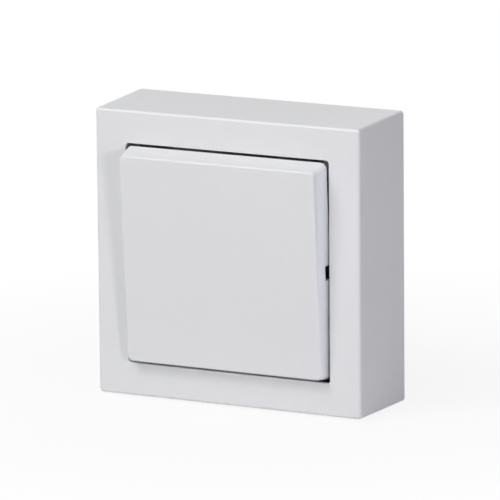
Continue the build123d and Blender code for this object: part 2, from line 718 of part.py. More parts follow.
def build():
    """Every node by name."""
    parts = {
        "cover_frame": make_cover_frame(),
        "mounting_base": make_mounting_base(),
        "support_plate": make_support_plate(),
        "switch_housing": make_switch_housing(),
        "housing_cover": make_housing_cover(),
        "rocker_button": make_rocker_button(),
        "rocker_carrier": make_rocker_carrier(),
    }
    for name, side in POLES.items():
        parts["device_screw_" + name] = make_screw(
            PLATE_FRONT_Y,
            DEVICE_HEAD_R,
            DEVICE_HEAD_TALL,
            DEVICE_SHANK_R,
            DEVICE_TIP_Y,
            side * DEVICE_SCREW_SPACING / 2,
            0,
        )
        parts["plunger_" + name] = make_plunger(side)
        parts["plunger_spring_" + name] = make_plunger_spring(side)
        parts["contact_bridge_" + name] = make_contact_bridge(side)
        parts["moving_tip_" + name] = make_moving_tip(side)
        parts["fixed_tip_" + name] = make_fixed_tip(side)
        parts["common_terminal_" + name] = make_common_terminal(side)
        parts["load_terminal_" + name] = make_load_terminal(side)
        for role, end in {"common": 1, "load": -1}.items():
            parts[role + "_block_" + name] = make_terminal_block(side, end)
            parts[role + "_screw_" + name] = make_terminal_screw(side, end)
    return parts


if __name__ == "__main__":
    os.makedirs("parts", exist_ok=True)
    for node, shape in build().items():
        export_step(shape, "parts/" + node + ".step")
        print(node, round(shape.volume, 1))
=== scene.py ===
# %% [markdown]
# # A surface-mounted rocker switch
# The object is a white wall switch: a deep square frame that reaches back to the wall, and one large
# rocker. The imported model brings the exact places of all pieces. This lesson gives each of them its
# finish, and puts a finer mesh of the same size in its place.

# %% Load the frame
import bpy
import bmesh
import json
import math
from mathutils import Matrix, Vector


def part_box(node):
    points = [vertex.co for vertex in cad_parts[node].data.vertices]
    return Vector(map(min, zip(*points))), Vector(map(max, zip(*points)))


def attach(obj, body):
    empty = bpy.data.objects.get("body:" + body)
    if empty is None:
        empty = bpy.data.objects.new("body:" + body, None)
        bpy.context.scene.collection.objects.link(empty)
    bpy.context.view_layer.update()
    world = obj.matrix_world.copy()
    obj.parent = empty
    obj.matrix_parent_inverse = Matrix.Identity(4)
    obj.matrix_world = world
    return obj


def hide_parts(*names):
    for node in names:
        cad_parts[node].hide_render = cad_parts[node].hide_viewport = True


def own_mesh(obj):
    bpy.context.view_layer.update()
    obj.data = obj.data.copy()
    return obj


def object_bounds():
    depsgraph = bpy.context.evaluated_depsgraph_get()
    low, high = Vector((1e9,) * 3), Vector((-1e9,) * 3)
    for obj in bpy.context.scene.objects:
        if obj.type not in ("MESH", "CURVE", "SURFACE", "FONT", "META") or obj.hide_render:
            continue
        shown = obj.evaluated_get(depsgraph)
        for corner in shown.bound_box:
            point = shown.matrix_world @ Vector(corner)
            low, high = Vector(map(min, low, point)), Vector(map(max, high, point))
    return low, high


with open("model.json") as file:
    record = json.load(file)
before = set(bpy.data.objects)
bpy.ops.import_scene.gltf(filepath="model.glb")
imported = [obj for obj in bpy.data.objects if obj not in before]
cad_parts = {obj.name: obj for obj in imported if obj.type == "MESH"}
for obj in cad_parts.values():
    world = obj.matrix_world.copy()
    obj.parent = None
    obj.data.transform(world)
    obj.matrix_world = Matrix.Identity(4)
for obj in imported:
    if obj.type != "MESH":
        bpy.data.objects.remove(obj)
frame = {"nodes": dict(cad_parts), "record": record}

CAD_LOW, CAD_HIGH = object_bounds()
print("pieces in the model:", len(frame["nodes"]))

# %% [markdown]
# ## Sizes
# The outer places come from the model's own boxes, so that the finer meshes fit without any moving
# about. What a box can't tell, such as the pivot's place or the rest angle, is a named size of its own.
# Blender counts in metres, so a millimetre gets a name too.

# %% Sizes from the model
MM = 0.001
frame_low, frame_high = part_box("cover_frame")
HALF = frame_high.x
FRONT_Y = frame_low.y
PIVOT_BEHIND_FRONT = 3.0 * MM
PIVOT_Y = FRONT_Y + PIVOT_BEHIND_FRONT
REST_TILT = math.radians(3.8)
print("half width", round(HALF / MM, 2), "mm, front at", round(FRONT_Y / MM, 2), "mm")

# %% [markdown]
# ## Camera
# The picture was taken from the right and a little above, from far away, so lines that are parallel
# stay nearly parallel. A long lens does that. The object's centre isn't in the middle of the picture.
# The camera is moved sideways for that, because a shifted lens would stay shifted in other views.

# %% Camera
CAMERA_AZIMUTH = math.radians(26.611)
CAMERA_ELEVATION = math.radians(12.211)
CAMERA_ROLL = math.radians(0.515)
CAMERA_DISTANCE = 1709.52 * MM
CAMERA_ASIDE = 6.48 * MM
CAMERA_RAISED = 3.657 * MM
LENS = 432.0
SENSOR = 36.0
CLIP_RATIO = 20


def direction(azimuth, elevation):
    """The way from the object to a place at these angles; azimuth 0 is straight in front."""
    level = math.cos(elevation)
    return Vector((math.sin(azimuth) * level, -math.cos(azimuth) * level, math.sin(elevation)))


def make_camera():
    """A far camera with a long lens, looking at the middle of the switch's front."""
    back = direction(CAMERA_AZIMUTH, CAMERA_ELEVATION)
    level = Vector((math.cos(CAMERA_AZIMUTH), math.sin(CAMERA_AZIMUTH), 0))
    up = back.cross(level)
    right = level * math.cos(CAMERA_ROLL) - up * math.sin(CAMERA_ROLL)
    up = back.cross(right)
    data = bpy.data.cameras.new("camera")
    data.lens = LENS
    data.sensor_width = SENSOR
    data.clip_start = CAMERA_DISTANCE / CLIP_RATIO
    data.clip_end = CAMERA_DISTANCE * CLIP_RATIO
    camera = bpy.data.objects.new("camera", data)
    bpy.context.scene.collection.objects.link(camera)
    place = Vector((0, FRONT_Y, 0)) + back * CAMERA_DISTANCE + right * CAMERA_ASIDE + up * CAMERA_RAISED
    turn = Matrix((right, up, back)).transposed().to_4x4()
    camera.matrix_world = Matrix.Translation(place) @ turn
    bpy.context.scene.camera = camera
    return camera


bpy.context.scene.view_settings.view_transform = "Standard"
camera = make_camera()
print("camera at", [round(v, 3) for v in camera.location])

# %% [markdown]
# ## Light
# A white thing on a white ground only shows its form through soft differences of light. Eight soft lamps
# do that. Those on the left and in front light the face from above and drop a shadow below the rocker.
# One from the right skims the frame, so the strip left of the rocker lies in its shade. One nearly
# overhead keeps the top face as bright as the front, and a small cool one gives the right flank its
# bluish tone. A narrow beam from the side passes just before the frame and lights little but the
# rocker's right flank, which is bright and bluish in the picture. The sky gives no light of its own,
# because the shadows in the gap are deep. A lamp behind lights the back.

# %% Lamps
SCENE_MIDDLE = Vector((0, FRONT_Y / 2, 0))
NEUTRAL = (1.0, 1.0, 1.0)
COOL = (0.7, 0.6, 1.0)
FAINT_COOL = (0.96, 0.95, 1.0)
ICE = (0.75, 0.86, 1.0)
LAMPS = {
    "front high": dict(azimuth=0, elevation=45, far=1.0, size=0.5, power=1.45, tint=NEUTRAL),
    "left wide": dict(azimuth=-30, elevation=25, far=1.0, size=0.6, power=1.3, tint=NEUTRAL),
    "left high": dict(azimuth=-30, elevation=50, far=1.0, size=0.35, power=3.35, tint=NEUTRAL),
    "right skim": dict(azimuth=51, elevation=8, far=0.9, size=0.13, power=1.9, tint=FAINT_COOL),
    "right cool": dict(azimuth=60, elevation=35, far=0.9, size=0.25, power=0.35, tint=COOL),
    "overhead": dict(azimuth=0, elevation=80, far=0.9, size=0.45, power=1.5, tint=NEUTRAL),
    "behind": dict(azimuth=189, elevation=3, far=1.0, size=0.35, power=6.5, tint=NEUTRAL),
}
STRIP = dict(azimuth=90, elevation=0, far=0.3, size=4 * MM, power=0.00022, tint=ICE)
STRIP_TALL = 90 * MM
STRIP_BEFORE_FRONT = 3.5 * MM
STRIP_SPREAD = math.radians(1.5)


def make_lamp(name, azimuth, elevation, far, size, power, tint):
    """A soft square lamp on a sphere round the object, facing its middle."""
    back = direction(math.radians(azimuth), math.radians(elevation))
    data = bpy.data.lights.new(name, "AREA")
    data.shape = "SQUARE"
    data.size = size
    data.energy = power
    data.color = tint
    lamp = bpy.data.objects.new(name, data)
    lamp.rotation_mode = "QUATERNION"
    lamp.rotation_quaternion = (-back).to_track_quat("-Z", "Y")
    lamp.location = SCENE_MIDDLE + back * far
    bpy.context.scene.collection.objects.link(lamp)
    return lamp


def make_strip():
    """The narrow beam from the side, just before the frame."""
    strip = make_lamp("side strip", **STRIP)
    strip.data.shape = "RECTANGLE"
    strip.data.size_y = STRIP_TALL
    strip.data.spread = STRIP_SPREAD
    strip.location.y = FRONT_Y - STRIP_BEFORE_FRONT


for lamp_name, settings in LAMPS.items():
    make_lamp(lamp_name, **settings)
make_strip()
print("lamps:", len(LAMPS) + 1)

# %% [markdown]
# ## Shader maths
# A material is a small net of nodes. Written out one by one they are long to read, so one class wraps
# a socket and lets Python's own signs add the nodes: a * b becomes a Multiply node.

# %% A socket that does sums
MIX_FACTOR = 0
MIX_FIRST = 6
MIX_SECOND = 7
MIX_RESULT = 2
PLACE_ON_OBJECT = 3
SOFT_NOISE = {"Detail": 2.0, "Roughness": 0.5}
FINE_NOISE = {"Detail": 3.0, "Roughness": 0.6}


class Sock:
    """A node's output, with + - * and /, whose results are new Math nodes."""

    def __init__(self, tree, socket):
        self.tree = tree
        self.socket = socket

    def math(self, operation, *values):
        return self.tree.add("ShaderNodeMath", {"operation": operation}, list(values))

    def __add__(self, other):
        return self.math("ADD", self, other)

    def __radd__(self, other):
        return self.math("ADD", other, self)

    def __sub__(self, other):
        return self.math("SUBTRACT", self, other)

    def __rsub__(self, other):
        return self.math("SUBTRACT", other, self)

    def __mul__(self, other):
        return self.math("MULTIPLY", self, other)

    def __rmul__(self, other):
        return self.math("MULTIPLY", other, self)

    def __truediv__(self, other):
        return self.math("DIVIDE", self, other)

    def __rtruediv__(self, other):
        return self.math("DIVIDE", other, self)

    def clamp(self, low, high):
        return self.math("MINIMUM", self.math("MAXIMUM", self, low), high)


class Tree:
    """A node tree, with one method that adds any node."""

    def __init__(self, tree):
        self.tree = tree

    def add(self, kind, settings=None, inputs=None, out=0):
        """Adds a node: its settings first, then its inputs by name or place, a list all into one."""
        node = self.tree.nodes.new(kind)
        for key, value in (settings or {}).items():
            setattr(node, key, value)
        pairs = inputs.items() if isinstance(inputs, dict) else enumerate(inputs or [])
        for key, value in pairs:
            if isinstance(value, (Sock, list)):
                for one in value if isinstance(value, list) else [value]:
                    self.tree.links.new(one.socket, node.inputs[key])
            else:
                node.inputs[key].default_value = value
        return Sock(self, node.outputs[out]) if len(node.outputs) else None


class Net(Tree):
    """The node tree of one material."""

    def __init__(self, name):
        self.material = bpy.data.materials.new(name)
        self.material.use_nodes = True
        super().__init__(self.material.node_tree)
        self.tree.nodes.clear()

    def finish(self, shader):
        self.add("ShaderNodeOutputMaterial", None, {"Surface": shader})
        return self.material

    def place(self):
        """The place on the object, in metres."""
        return self.add("ShaderNodeTexCoord", out=PLACE_ON_OBJECT)

    def noise(self, waves, kind=SOFT_NOISE, where=None):
        """A random pattern, soft or fine; waves is how many of them fit in a metre."""
        inputs = {"Vector": where or self.place(), "Scale": waves, **kind}
        return self.add("ShaderNodeTexNoise", None, inputs)

    def bump(self, strength, height):
        """Hills and dips that only the light sees, from a height in metres."""
        inputs = {"Strength": strength, "Distance": 1.0, "Height": height}
        return self.add("ShaderNodeBump", None, inputs)

    def blend(self, factor, first, second):
        """A colour between two others."""
        inputs = {MIX_FACTOR: factor, MIX_FIRST: first, MIX_SECOND: second}
        return self.add("ShaderNodeMix", {"data_type": "RGBA"}, inputs, MIX_RESULT)


def grey(level, warm=0.0):
    """A linear colour from a display level of 0 to 255 by the sRGB rule, a touch warm or cool."""
    share = level / 255
    linear = share / 12.92 if share <= 0.04045 else ((share + 0.055) / 1.055) ** 2.4
    return (linear * (1 + warm), linear, linear * (1 - warm), 1.0)


print("shader helpers are ready")

# %% [markdown]
# ## Ground and sky
# The camera sees white wherever it misses the object. The floor stays a real white floor for the other
# light, so that it lights the underside and keeps a faint shadow; away from the object it melts into
# the plain white of the sky.

# %% Sky and floor
SKY_STRENGTH = 0.0
FLOOR_SIDE = 3.0
FLOOR_GAP = 0.02 * MM
FLOOR_LEVEL = 235
FLOOR_SHADOW_SHARE = 0.12
FADE_FROM = 60 * MM
FADE_OVER = 120 * MM


def white_rays(tree):
    """1 for the rays that see plain white: the camera's, mirrored and refracted ones."""
    kinds = ("Is Camera Ray", "Is Glossy Ray", "Is Transmission Ray")
    seen, mirrored, refracted = [tree.add("ShaderNodeLightPath", out=kind) for kind in kinds]
    for other in (mirrored, refracted):
        seen = seen.math("MAXIMUM", seen, other)
    return seen


def make_sky():
    """Plain white for the rays that see it, and no light of its own."""
    world = bpy.data.worlds.new("sky")
    bpy.context.scene.world = world
    world.use_nodes = True
    sky = Tree(world.node_tree)
    sky.tree.nodes.clear()
    light = sky.add("ShaderNodeBackground", None, {"Color": grey(255), "Strength": SKY_STRENGTH})
    white = sky.add("ShaderNodeBackground", None, {"Color": grey(255), "Strength": 1.0})
    both = sky.add("ShaderNodeMixShader", None, [white_rays(sky), light, white])
    sky.add("ShaderNodeOutputWorld", None, {"Surface": both})


def make_floor():
    """A white floor that keeps the object's shadow, and turns plain white further away."""
    net = Net("floor_white")
    away = net.add("ShaderNodeVectorMath", {"operation": "LENGTH"}, [net.place()], out="Value")
    fade = ((away - FADE_FROM) / FADE_OVER).clamp(0.0, 1.0)
    paint = net.add("ShaderNodeBsdfDiffuse", None, {"Color": grey(FLOOR_LEVEL)})
    glow = net.add("ShaderNodeEmission", None, {"Color": grey(255), "Strength": 1.0})
    share = white_rays(net) * ((1 - FLOOR_SHADOW_SHARE) + fade * FLOOR_SHADOW_SHARE)
    material = net.finish(net.add("ShaderNodeMixShader", None, [share, paint, glow]))
    mesh = bpy.data.meshes.new("floor")
    half = FLOOR_SIDE / 2
    low = CAD_LOW.z - FLOOR_GAP
    corners = [(-half, -half, low), (half, -half, low), (half, half, low), (-half, half, low)]
    mesh.from_pydata(corners, [], [(0, 1, 2, 3)])
    mesh.materials.append(material)
    floor = bpy.data.objects.new("floor", mesh)
    bpy.context.scene.collection.objects.link(floor)


make_sky()
make_floor()
print("floor at", round(CAD_LOW.z / MM, 2), "mm")

# %% [markdown]
# ## White plastic
# The frame and the rocker are moulded in one glossy white plastic. Real mouldings are never perfectly
# even: the tool was spark-eroded very finely, so the surface has a faint grain that breaks up the
# reflections, and the surface is a touch uneven over a few centimetres.

# %% White plastic
PLASTIC_IOR = 1.5
SLOW_WAVES = 35.0
SLOW_ROUGH = 0.06
GRAIN_WAVES = 9000.0
GRAIN_ROUGH = 0.08
GRAIN_DEEP = 0.004 * MM
RIPPLE_WAVES = 900.0
RIPPLE_DEEP = 0.002 * MM
WHITE_SPREAD = 1.5
DARK_TINT = -0.004
LIGHT_TINT = -0.008


def white_plastic(name, level, roughness):
    """A glossy white moulding, hardly uneven in colour, with a faint grain."""
    net = Net(name)
    slow = net.noise(SLOW_WAVES)
    grain = net.noise(GRAIN_WAVES, FINE_NOISE)
    colour = net.blend(slow, grey(level - WHITE_SPREAD, DARK_TINT), grey(level + WHITE_SPREAD, LIGHT_TINT))
    rough = roughness + (slow - 0.5) * SLOW_ROUGH + (grain - 0.5) * GRAIN_ROUGH
    height = grain * GRAIN_DEEP + net.noise(RIPPLE_WAVES) * RIPPLE_DEEP
    shader = net.add("ShaderNodeBsdfPrincipled", None, {
        "Base Color": colour, "Roughness": rough, "IOR": PLASTIC_IOR, "Normal": net.bump(0.6, height),
    })
    return net.finish(shader)


white_cover = white_plastic("white_cover", 232, 0.36)
print("white plastic is ready")

# %% [markdown]
# ## Finishes for the inner pieces
# Nobody sees these until the switch is opened: matt mouldings, zinc-plated sheet, spring wire, stamped
# brass and silver contacts. Each could have a net of its own. Two functions make them all instead, one
# for plastics and one for metals, because they differ only in colour, roughness and grain.

# %% Finishes for the inner pieces
BLOTCH_WAVES = 60.0
BLOTCH_SPREAD = 0.03
MATT_WAVES = 5000.0
MATT_ROUGH = 0.12
MATT_DEEP = 0.01 * MM
STROKE_WAVES = 900.0
STROKE_FINER = (1.0, 1.0, 12.0)
STROKE_ROUGH = 0.2
STROKE_DEEP = 0.008 * MM
SPOT_WAVES = 220.0
SPOT_DARK = 0.8


def plain_plastic(name, level, roughness):
    """A matt moulding with slow blotches and a fine grain."""
    net = Net(name)
    slow = net.noise(BLOTCH_WAVES)
    grain = net.noise(MATT_WAVES, FINE_NOISE)
    colour = net.blend(slow, grey(level * (1 - BLOTCH_SPREAD)), grey(level * (1 + BLOTCH_SPREAD)))
    rough = roughness + (grain - 0.5) * MATT_ROUGH
    shader = net.add("ShaderNodeBsdfPrincipled", None, {
        "Base Color": colour, "Roughness": rough, "IOR": PLASTIC_IOR,
        "Normal": net.bump(0.7, grain * MATT_DEEP),
    })
    return net.finish(shader)


def metal(name, colour, roughness):
    """A worked metal: level strokes in its gloss, and slightly darker spots."""
    net = Net(name)
    strokes = net.add("ShaderNodeMapping", None, {"Vector": net.place(), "Scale": STROKE_FINER})
    lines = net.noise(STROKE_WAVES, FINE_NOISE, strokes)
    spots = net.noise(SPOT_WAVES, FINE_NOISE)
    dark = tuple(c * SPOT_DARK for c in colour[:3]) + (1.0,)
    tint = net.blend(spots, dark, colour)
    rough = roughness + (lines - 0.5) * STROKE_ROUGH
    shader = net.add("ShaderNodeBsdfPrincipled", None, {
        "Base Color": tint, "Metallic": 1.0, "Roughness": rough,
        "Normal": net.bump(0.5, lines * STROKE_DEEP),
    })
    return net.finish(shader)


FINISHES = {
    "white_cover": white_cover,
    "base_plastic": plain_plastic("base_plastic", 222, 0.5),
    "carrier_plastic": plain_plastic("carrier_plastic", 190, 0.5),
    "housing_plastic": plain_plastic("housing_plastic", 62, 0.55),
    "plated_steel": metal("plated_steel", (0.62, 0.63, 0.66, 1.0), 0.34),
    "spring_steel": metal("spring_steel", (0.45, 0.45, 0.47, 1.0), 0.28),
    "contact_brass": metal("contact_brass", (0.80, 0.56, 0.25, 1.0), 0.3),
    "contact_silver": metal("contact_silver", (0.86, 0.85, 0.83, 1.0), 0.22),
}
slot_of = {row["node"]: row["material_slot"] for row in frame["record"]["subparts"]}
for node_name, node in frame["nodes"].items():
    node.data.materials.clear()
    node.data.materials.append(FINISHES[slot_of[node_name]])
print("finishes:", len(FINISHES))

# %% [markdown]
# ## Shells from stacked outlines
# Both big mouldings are square with round corners, wherever they are cut parallel to the wall. So each
# can be drawn as a stack of rounded squares: every outline has its own distance from the wall, size and
# corner, and neighbouring outlines are joined by a band of faces. A fillet is a few outlines on an arc.
# This keeps the edges clean, which a cut or a bevel on a finished mesh seldom does.

# %% Outlines and bands
CORNER_STEPS = 8
FILLET_STEPS = 6
BAR_SIDES = 32
WELD_WITHIN = 0.0005 * MM
ROUND_UNDER = math.radians(35)


def outline(half_x, half_z, corner):
    """Points round a rectangle with round corners, anticlockwise as seen from the room."""
    points = []
    for quarter, (side_x, side_z) in enumerate(((1, 1), (-1, 1), (-1, -1), (1, -1))):
        for step in range(CORNER_STEPS + 1):
            angle = math.radians(90 * (quarter + step / CORNER_STEPS))
            x = side_x * (half_x - corner) + corner * math.cos(angle)
            z = side_z * (half_z - corner) + corner * math.sin(angle)
            points.append((x, z))
    return points


def stack(rings, closed):
    """A mesh from (y, half_x, half_z, corner) rings; closed joins the last to the first."""
    mesh = bmesh.new()
    rows = []
    for y, half_x, half_z, corner in rings:
        rows.append([mesh.verts.new((x, y, z)) for x, z in outline(half_x, half_z, corner)])
    pairs = list(zip(rows, rows[1:]))
    if closed:
        pairs.append((rows[-1], rows[0]))
    else:
        mesh.faces.new(rows[0])
        mesh.faces.new(rows[-1])
    for first, second in pairs:
        count = len(first)
        for i in range(count):
            j = (i + 1) % count
            mesh.faces.new((first[i], first[j], second[j], second[i]))
    bmesh.ops.remove_doubles(mesh, verts=mesh.verts, dist=WELD_WITHIN)
    bmesh.ops.recalc_face_normals(mesh, faces=mesh.faces)
    return mesh


def arc(start, end, steps=FILLET_STEPS):
    """Angles in radians between two in degrees, both ends included."""
    return [math.radians(start + (end - start) * i / steps) for i in range(steps + 1)]


def as_object(mesh, name, material):
    """Turns a bmesh into an object at the origin, with one material."""
    data = bpy.data.meshes.new(name)
    mesh.to_mesh(data)
    mesh.free()
    data.materials.append(material)
    piece = bpy.data.objects.new(name, data)
    bpy.context.scene.collection.objects.link(piece)
    return piece


def block(x0, x1, y0, y1, z0, z1):
    """A closed box as a bmesh, between two corners."""
    mesh = bmesh.new()
    middle = Matrix.Translation(((x0 + x1) / 2, (y0 + y1) / 2, (z0 + z1) / 2))
    size = Matrix.Diagonal((abs(x1 - x0), abs(y1 - y0), abs(z1 - z0), 1))
    bmesh.ops.create_cube(mesh, size=1.0, matrix=middle @ size)
    return mesh


def prism(points, low, high, along):
    """A closed outline stretched along X or Z; its points are (y, z) or (x, y)."""
    mesh = bmesh.new()
    ends = []
    for level in (low, high):
        if along == "X":
            ends.append([mesh.verts.new((level, a, b)) for a, b in points])
        else:
            ends.append([mesh.verts.new((a, b, level)) for a, b in points])
    mesh.faces.new(ends[0])
    mesh.faces.new(ends[1])
    count = len(points)
    for i in range(count):
        j = (i + 1) % count
        mesh.faces.new((ends[0][i], ends[0][j], ends[1][j], ends[1][i]))
    bmesh.ops.recalc_face_normals(mesh, faces=mesh.faces)
    return mesh


def bar(start, end, radius):
    """A closed round bar between two points."""
    mesh = bmesh.new()
    start = Vector(start)
    run = Vector(end) - start
    turn = run.to_track_quat("Z", "Y").to_matrix().to_4x4()
    place = Matrix.Translation(start + run / 2) @ turn
    bmesh.ops.create_cone(
        mesh, cap_ends=True, segments=BAR_SIDES, radius1=radius, radius2=radius, depth=run.length,
        matrix=place,
    )
    return mesh


def join_or_cut(piece, meshes, operation):
    """Adds solids to a piece, or cuts them out of it, and keeps the result."""
    for mesh in meshes:
        tool = as_object(mesh, "tool", piece.data.materials[0])
        step = piece.modifiers.new("step", "BOOLEAN")
        step.operation = operation
        step.solver = "EXACT"
        step.object = tool
        graph = bpy.context.evaluated_depsgraph_get()
        result = bpy.data.meshes.new_from_object(piece.evaluated_get(graph))
        piece.modifiers.remove(step)
        old = piece.data
        piece.data = result
        bpy.data.meshes.remove(old)
        bpy.data.objects.remove(tool)
    piece.data.name = piece.name


def smooth(piece):
    """Shades a piece round over its fillets and flat over its flats."""
    mesh = bmesh.new()
    mesh.from_mesh(piece.data)
    for face in mesh.faces:
        face.smooth = True
    for edge in mesh.edges:
        if len(edge.link_faces) == 2:
            edge.smooth = edge.calc_face_angle(0.0) < ROUND_UNDER
    mesh.to_mesh(piece.data)
    mesh.free()
    weighted = piece.modifiers.new("even shading", "WEIGHTED_NORMAL")
    weighted.keep_sharp = True


def keep(piece, node_name, body):
    """Puts a finished piece in the place of a model piece, on the same body, and hides the model piece."""
    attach(piece, body)
    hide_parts(node_name)
    return piece


print("shell helpers are ready")

# %% [markdown]
# ## Cover frame
# The frame is one deep moulding: outer wall, front plate with a square opening, and webs inside that
# stiffen the plate. Its front edge has a fillet of 0.9 mm, which catches the light from above as a
# bright line, and the opening has a much finer one.

# %% Cover frame
DRAFT = 0.6 * MM
OUTER_CORNER = 1.1 * MM
FRONT_EDGE = 0.9 * MM
BACK_EDGE = 0.2 * MM
WALL = 2.0 * MM
FACE_PLATE = 2.0 * MM
OPENING_HALF = 32.25 * MM
OPENING_CORNER = 0.9 * MM
OPENING_EDGE = 0.14 * MM
OPENING_STEPS = 4
OPENING_BEVEL = 0.8 * MM
INNER_CORNER = 0.8 * MM
WEB_AT = (-24 * MM, 0.0, 24 * MM)
WEB_THICK = 1.2 * MM
WEB_SETBACK = 1.45 * MM
WEB_DEEP = 8.0 * MM
BREAKOUT_HALF = 8.0 * MM
BREAKOUT_DEEP = 13.0 * MM
BREAKOUT_SKIN = 0.9 * MM
PRY_HALF = 4.5 * MM
PRY_DEEP = 1.6 * MM
HOOK_AT = (-20 * MM, 20 * MM)
HOOK_HALF = 4.0 * MM
HOOK_FRONT_Y = -6.0 * MM
HOOK_TALL = 1.4 * MM
HOOK_REACH = 0.7 * MM
inner_half = HALF - WALL
plate_back = FRONT_Y + FACE_PLATE


def drafted(half, y):
    """Half a width at one distance from the wall: the mould's sides lean in towards the room."""
    return half - DRAFT * y / FRONT_Y


def frame_rings():
    """The frame's section, from the back of its outer wall round to the back of its inner wall."""
    rings = [(0.0, HALF - BACK_EDGE, HALF - BACK_EDGE, OUTER_CORNER - BACK_EDGE)]
    rings.append((-BACK_EDGE, drafted(HALF, -BACK_EDGE), drafted(HALF, -BACK_EDGE), OUTER_CORNER))
    for angle in arc(0, 90):
        y = FRONT_Y + FRONT_EDGE * (1 - math.sin(angle))
        out = FRONT_EDGE * (1 - math.cos(angle))
        half = drafted(HALF, y) - out
        rings.append((y, half, half, OUTER_CORNER - out))
    for angle in arc(90, 0, OPENING_STEPS):
        half = OPENING_HALF + OPENING_EDGE * (1 - math.cos(angle))
        y = FRONT_Y + OPENING_EDGE * (1 - math.sin(angle))
        rings.append((y, half, half, OPENING_CORNER + half - OPENING_HALF))
    bevel_y = plate_back - OPENING_BEVEL
    rings.append((bevel_y, OPENING_HALF, OPENING_HALF, OPENING_CORNER))
    wide = OPENING_HALF + OPENING_BEVEL
    rings.append((plate_back, wide, wide, OPENING_CORNER + OPENING_BEVEL))
    front_half = drafted(inner_half, plate_back)
    rings.append((plate_back, front_half, front_half, INNER_CORNER))
    rings.append((-BACK_EDGE, inner_half, inner_half, INNER_CORNER))
    rings.append((0.0, inner_half + BACK_EDGE, inner_half + BACK_EDGE, INNER_CORNER + BACK_EDGE))
    return rings


def make_cover_frame():
    """The moulding with its webs and snap hooks, then its break-outs and pry slot cut out."""
    piece = as_object(stack(frame_rings(), closed=True), "cover_frame_moulding", white_cover)
    webs = []
    for at in WEB_AT:
        for side in (-1, 1):
            wall = side * (inner_half + WALL / 2)
            near = side * (OPENING_HALF + OPENING_BEVEL + WEB_SETBACK)
            front = plate_back - FACE_PLATE / 2
            web = [(wall, front), (near, front), (near, plate_back), (wall, plate_back + WEB_DEEP)]
            webs.append(prism(web, at - WEB_THICK / 2, at + WEB_THICK / 2, "Z"))
            turned = [(y, x) for x, y in web]
            webs.append(prism(turned, at - WEB_THICK / 2, at + WEB_THICK / 2, "X"))
    for side in (-1, 1):
        root = side * (inner_half + WALL / 4)
        nose = side * (inner_half - HOOK_REACH)
        flat_y = HOOK_FRONT_Y + HOOK_TALL / 2
        hook = [(root, HOOK_FRONT_Y), (nose, HOOK_FRONT_Y), (nose, flat_y)]
        hook.append((root, HOOK_FRONT_Y + 2 * HOOK_TALL))
        for at in HOOK_AT:
            webs.append(prism(hook, at - HOOK_HALF, at + HOOK_HALF, "Z"))
    join_or_cut(piece, webs, "UNION")
    cuts = []
    for side in (-1, 1):
        inner = side * (inner_half - WALL)
        skin = side * (HALF - BREAKOUT_SKIN)
        cuts.append(block(-BREAKOUT_HALF, BREAKOUT_HALF, -BREAKOUT_DEEP, WALL, inner, skin))
    pry_low, pry_high = -HALF - WALL, WALL - HALF + WALL / 2
    cuts.append(block(-PRY_HALF, PRY_HALF, -PRY_DEEP, WALL, pry_low, pry_high))
    join_or_cut(piece, cuts, "DIFFERENCE")
    smooth(piece)
    return keep(piece, "cover_frame", "base")


cover = make_cover_frame()
print("cover frame faces:", len(cover.data.polygons))

# %% [markdown]
# ## Rocker button
# The button is a shallow tray, drawn level with the wall and then turned about its pivot by the
# rest angle. Its two ends slant by about 11 degrees, because they swing past the frame's edge; its two
# flanks slant less. The face edge is only just broken, so it draws one thin highlight.

# %% Rocker button
FACE_N = 8.0 * MM
FACE_HALF_X = 30.85 * MM
FACE_HALF_Z = 30.45 * MM
KNEE_N = 1.4 * MM
KNEE_HALF_X = 31.7 * MM
KNEE_HALF_Z = 31.75 * MM
FACE_CORNER = 1.5 * MM
KNEE_CORNER = 1.8 * MM
SKIRT_N = 1.1 * MM
FACE_EDGE = 0.5 * MM
FACE_EDGE_END = 8
FACE_EDGE_OUT = 0.08
SKIRT_EDGE = 0.12 * MM
BUTTON_FACE = 1.8 * MM
BUTTON_WALL = 1.4 * MM
NOTCH_HALF = 2.1 * MM
NOTCH_TOP_N = PIVOT_BEHIND_FRONT + 0.75 * MM
NOTCH_REACH = 3.0 * MM
RIB_AT = (-20 * MM, 20 * MM)
RIB_THICK = 1.0 * MM
RIB_TALL = 2.5 * MM
POST_AT = 12.0 * MM
POST_R = 1.6 * MM
CARRIER_BACK_N = -1.7 * MM
CARRIER_FRONT_N = -0.1 * MM
CLIP_X = 13.0 * MM
CLIP_HALF = 2.5 * MM
CLIP_NEAR = 17.1 * MM
CLIP_THICK = 1.2 * MM
CLIP_BARB = 0.8 * MM
CLIP_BARB_N = CARRIER_BACK_N - 0.1 * MM
CLIP_TIP_N = -2.8 * MM


def on_rocker(n):
    """Distance from the wall of a place that is n in front of the pivot."""
    return PIVOT_Y - n


